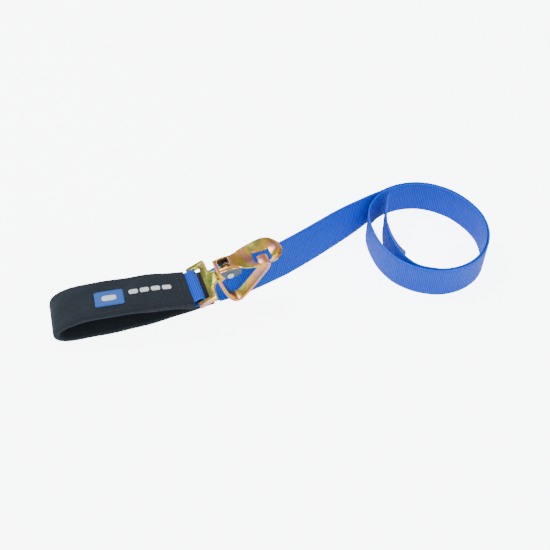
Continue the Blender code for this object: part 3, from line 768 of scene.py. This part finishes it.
def latch(material, ear_painted_shade_material):
    """The paddle with the round lip at its rear, and its two ears."""
    mesh = latch_mesh()
    lip_route = [Vector((1.9, y, 14.7 - 0.002 * y * y)) for y in spread(-10.4, 10.4, 8)]
    rings = []
    for point in lip_route:
        rings.append([
            (point + Vector((math.cos(turn), 0, math.sin(turn))) * LIP_RADIUS) * 0.001
            for turn in spread(0, 2 * math.pi, 12)[:-1]])
    mesh = joined("latch_paddle", [mesh, loft("latch_lip", rings)])
    mesh.transform(hook_frame)
    new_piece("latch_paddle", shade(mesh, 40), material, "latch", "hook_zinc", "hook_latch")
    # The ears take a darker blue-grey metal than the paddle: painted shade and a painted reflection
    # of the blue strap on the latch's zinc.
    for side, name in ((-1, "near"), (1, "far")):
        ear = flat_outline("latch_ear_" + name, [fillet(EAR_OUTLINE, 3.0)], EAR_THICKNESS)
        ear = standing(ear, side * (LATCH_HALF_WIDTH - EAR_THICKNESS / 2))
        ear = bevelled("latch_ear_" + name, ear, 0.35, 2)
        ear.transform(hook_frame)
        new_piece("latch_ear_" + name, ear, ear_painted_shade_material, "latch", "hook_zinc", "hook_latch")


def sleeve_height(distance):
    """How far the sleeve's faces stand from the loop's middle surface."""
    return between(SLEEVE_HEIGHTS, distance)


def sleeve(material):
    """The fleece tube, fuller in the middle, with soft wrinkles where the loop turns over."""
    rings = []
    fold_middle = loop.where_x(-290)
    for distance in spread(SLEEVE_START, loop.lengths[-1], 190):
        high = sleeve_height(distance) - SLEEVE_WALL / 2
        half = SLEEVE_WIDTH / 2 - SLEEVE_WALL / 2
        near_end = min(distance - SLEEVE_START, loop.lengths[-1] - distance)
        half += 0.35 * math.sin(distance / 21) + 0.3 * math.sin(distance / 8.3 + 1)
        full = 0.5 * min(near_end / 25, 1)
        turn_over = math.exp(-((distance - fold_middle) / 26) ** 2)
        ring = []
        for side in (1, -1):
            for share in (-0.84, -0.63, -0.42, -0.21, 0.0, 0.21, 0.42, 0.63, 0.84):
                crown = full * (1 - share ** 2)
                wave = math.sin(distance / 5.2 + 3 * share) * 0.45 * turn_over
                wave += math.sin(distance / 13 + 5 * share * side) * 0.25
                ring.append((share * (half - 1) * side, (high + crown + wave) * -side))
            for rise, first in ((-1, -90), (1, 0)):
                for step in range(4):
                    turn = math.radians(first + 30 * step)
                    radius = min(SLEEVE_EDGE_RADIUS, high)
                    ring.append((side * (half - radius + radius * math.cos(turn)),
                                 side * (rise * (high - radius) + radius * math.sin(turn))))
        rings.append([loop.point(distance, offset, height) for offset, height in ring])
    mesh = loft("sleeve_fleece", rings, capped=False)
    item = baked(bpy.data.objects.new("sleeve_fleece", mesh), (
        "SOLIDIFY", {"thickness": SLEEVE_WALL * 0.001, "offset": 0.0}))
    mesh = shade(item.data, 60)
    bpy.data.objects.remove(item)
    item = new_piece("sleeve_fleece", mesh, material, "strap", "sleeve", "axle_sleeve")


def lifted_patch(name, strap, start, end, low, high, height, steps=(12, 8), corner=1.0):
    """The middle surface of a thin cloth piece with cut corners, lying over a band."""
    rows, places = [], []
    for distance in spread(start, end, steps[0]):
        from_end = min(distance - min(start, end), max(start, end) - distance)
        cut = max(0.0, corner - from_end)
        rows.append([strap.point(distance, offset, height(distance))
                     for offset in spread(low + cut, high - cut, steps[1])])
        places.append([(distance, offset) for offset in spread(low, high, steps[1])])
    return loft(name, rows, closed=False, places=places)


def cloth_piece(name, mesh, thickness, material, slot, *replaced):
    """A piece on the strap's body from a middle surface, thickened and soft at its edges."""
    item = baked(bpy.data.objects.new(name, mesh), (
        "SOLIDIFY", {"thickness": thickness * 0.001, "offset": 0.0}),
        ("BEVEL", {"width": thickness * 0.0003, "segments": 2, "limit_method": "ANGLE",
                   "angle_limit": math.radians(60)}))
    mesh = item.data
    bpy.data.objects.remove(item)
    return new_piece(name, shade(mesh, 60), material, "strap", slot, *replaced)


def over_sleeve(lift):
    """The height, at each distance, of something lying this far above the sleeve's upper face."""
    return lambda distance: -(sleeve_height(distance) + lift)


def badge():
    """The badge with a plain block on it, and the row of plain blocks beside it."""
    start, end = loop.where_x(BADGE_X[0]), loop.where_x(BADGE_X[1])
    face, raised = over_sleeve(0.95), over_sleeve(1.5)
    patch = lifted_patch("badge_cloth", loop, start, end, -14.5, 8.5, face)
    cloth_piece("badge_cloth", patch, BADGE_THICKNESS, badge_blue, "badge", "sleeve_badge")
    middle = (start + end) / 2
    patch = lifted_patch("badge_block", loop, middle - 9, middle + 9, -7, 1, raised, corner=2.0)
    cloth_piece("badge_block", patch, BLOCK_THICKNESS, white_weave, "white_weave", "badge_emblem")
    rows = box_rows(start + 1.2, end - 1.2, -13.3, 7.3)
    mesh = stitches("badge_stitches", loop, raised, rows, 1.6, 0.5, 0.3)
    new_piece("badge_stitches", mesh, badge_thread, "strap", "white_weave", "badge_stitching")
    start, end = loop.where_x(FLASH_X[0]), loop.where_x(FLASH_X[1])
    blocks = []
    for number in range(FLASH_BLOCKS):
        first = start + (end - start) * (number / FLASH_BLOCKS + 0.01)
        last = start + (end - start) * (number / FLASH_BLOCKS + 0.215)
        blocks.append(lifted_patch("flash", loop, first, last, -1.6, 5.2, face, (8, 4), 1.6))
    cloth_piece("flash_blocks", joined("flash_blocks", blocks), FLASH_THICKNESS, white_weave,
                "white_weave", "sleeve_flash")


def crossed_box(start, end, low, high):
    """The sides and the diagonals of a box of stitching."""
    return box_rows(start, end, low, high) + [((start, low), (end, high)),
                                              ((start, high), (end, low))]


def sewn(name, strap, height, rows, material, slot, replaced, *thread_size):
    """Stitches as a piece on the strap's body."""
    mesh = stitches(name, strap, height, rows, *thread_size)
    return new_piece(name, mesh, material, "strap", slot, replaced)


def sleeve_sewing():
    """The tacks at the sleeve's two ends and the seam along it."""
    def under(distance):
        return sleeve_height(distance) + 0.45

    total = loop.lengths[-1]
    sewn("hook_end_stitches", loop, over_sleeve(0.45), box_rows(13, 20, -22, 22), black_thread,
         "thread_black", "sleeve_tack_hook_end")
    sewn("splice_end_stitches", loop, under, box_rows(total - 13, total - 6, -22, 22),
         black_thread, "thread_black", "sleeve_tack_splice_end")
    points = spread(30, loop.where_x(-262), 20)
    rows = [((a, SEAM_OFFSET), (b, SEAM_OFFSET)) for a, b in zip(points, points[1:])]
    sewn("seam_stitches", loop, over_sleeve(0.45), rows, black_thread, "thread_black",
         "sleeve_seam")


def webbing_sewing():
    """The eye, the lap and the strap's end; the piece at the strap's end is given back."""
    rows = [((24, offset), (50, offset)) for offset in (-20, 0, 20)] + box_rows(24, 50, -21, 21)
    sewn("eye_stitches", loop, PLY_OFFSET + THREAD_HEIGHT, rows, blue_thread, "thread_blue",
         "eye_stitching")
    sewn("lap_stitches", tie, 2 * PLY_OFFSET + THREAD_HEIGHT, crossed_box(9, 34, -16, 20),
         blue_thread, "thread_blue", "splice_stitching_front")
    sewn("lap_back_stitches", tie, -THREAD_HEIGHT, crossed_box(14, 34, -16, 20), blue_thread,
         "thread_blue", "splice_stitching_back")
    end = tie.lengths[-1]
    return sewn("tail_stitches", tie, -THREAD_HEIGHT, box_rows(end - 12, end - 5, -21, 21),
                blue_thread, "thread_blue", "strap_end_tack")


def label():
    """The blank label, sewn to the coil's inner layer along one edge."""
    route = smooth_route([Vector((x, y, LABEL_MIDDLE_Z)) for x, y in LABEL_ROUTE], 2.0)
    strap = Strap([(ORIGIN + point) * 0.001 for point in route], [Vector((0, 0, 1))] * len(route))
    half = LABEL_HEIGHT / 2
    length = strap.lengths[-1]
    patch = lifted_patch("blank_label", strap, 0, length, -half, half, lambda distance: 0.0,
                         (26, 14))
    cloth = cloth_piece("blank_label", patch, LABEL_THICKNESS, label_cloth_painted_shade, "label", "info_label")
    edge = sewn("label_stitches", strap, -0.5, box_rows(2, 7, -19, 19), black_thread,
                "thread_black", "label_stitching", 1.8, 0.6, 0.28)


tie = tie_strap(2.4)
loop = loop_strap(2.4)
axle = axle_strap()
camera()
stage()
studio()

webbing = woven("webbing", (0.0, 0.02, 0.40), (0.0, 0.12, 1.0))
fleece_cloth = fleece()
gold = zinc("zinc_gold", 0.0)
paddle_zinc = zinc("zinc_paddle", 3.1, 0.06)
# Dark blue-grey for the latch ears: painted shade and a painted reflection of the blue strap on the
# same zinc as the paddle.
ear_zinc_painted_shade = plated("zinc_ear_painted_shade", (0.11, 0.14, 0.17))
steel = plated("bright_steel", (0.74, 0.74, 0.76))
blue_thread = thread("thread_blue", (0.0, 0.10, 0.62))
black_thread = thread("thread_black", (0.02, 0.028, 0.038))
badge_thread = thread("thread_badge", (0.02, 0.3, 0.75))
badge_blue = patch_weave("badge_blue", (0.0, 0.11, 0.55), (0.0, 0.07, 0.38))
white_weave = patch_weave("white_weave", (0.86, 0.87, 0.88), (0.62, 0.64, 0.68))
# The label's light lavender-grey is its white with a painted bluish shade.
label_cloth_painted_shade = patch_weave("label_cloth_painted_shade", (0.72, 0.72, 0.82), (0.6, 0.6, 0.74))

tie_mesh = band("tie_band", tie, tie.lengths, WEBBING_WIDTH, WEBBING_THICKNESS)
tie_band = new_piece("tie_band", tie_mesh, webbing, "strap", "webbing", "tie_webbing")
axle_mesh = band("axle_band", axle, axle.lengths, WEBBING_WIDTH, WEBBING_THICKNESS)
new_piece("axle_band", axle_mesh, webbing, "strap", "webbing", "axle_webbing")
sleeve(fleece_cloth)
badge()
sleeve_sewing()
tail = webbing_sewing()
label()
hook_body(gold)
latch(paddle_zinc, ear_zinc_painted_shade)
for name in ("latch_rivet", "latch_spring"):
    for material_slot in nodes[name].material_slots:
        material_slot.material = steel
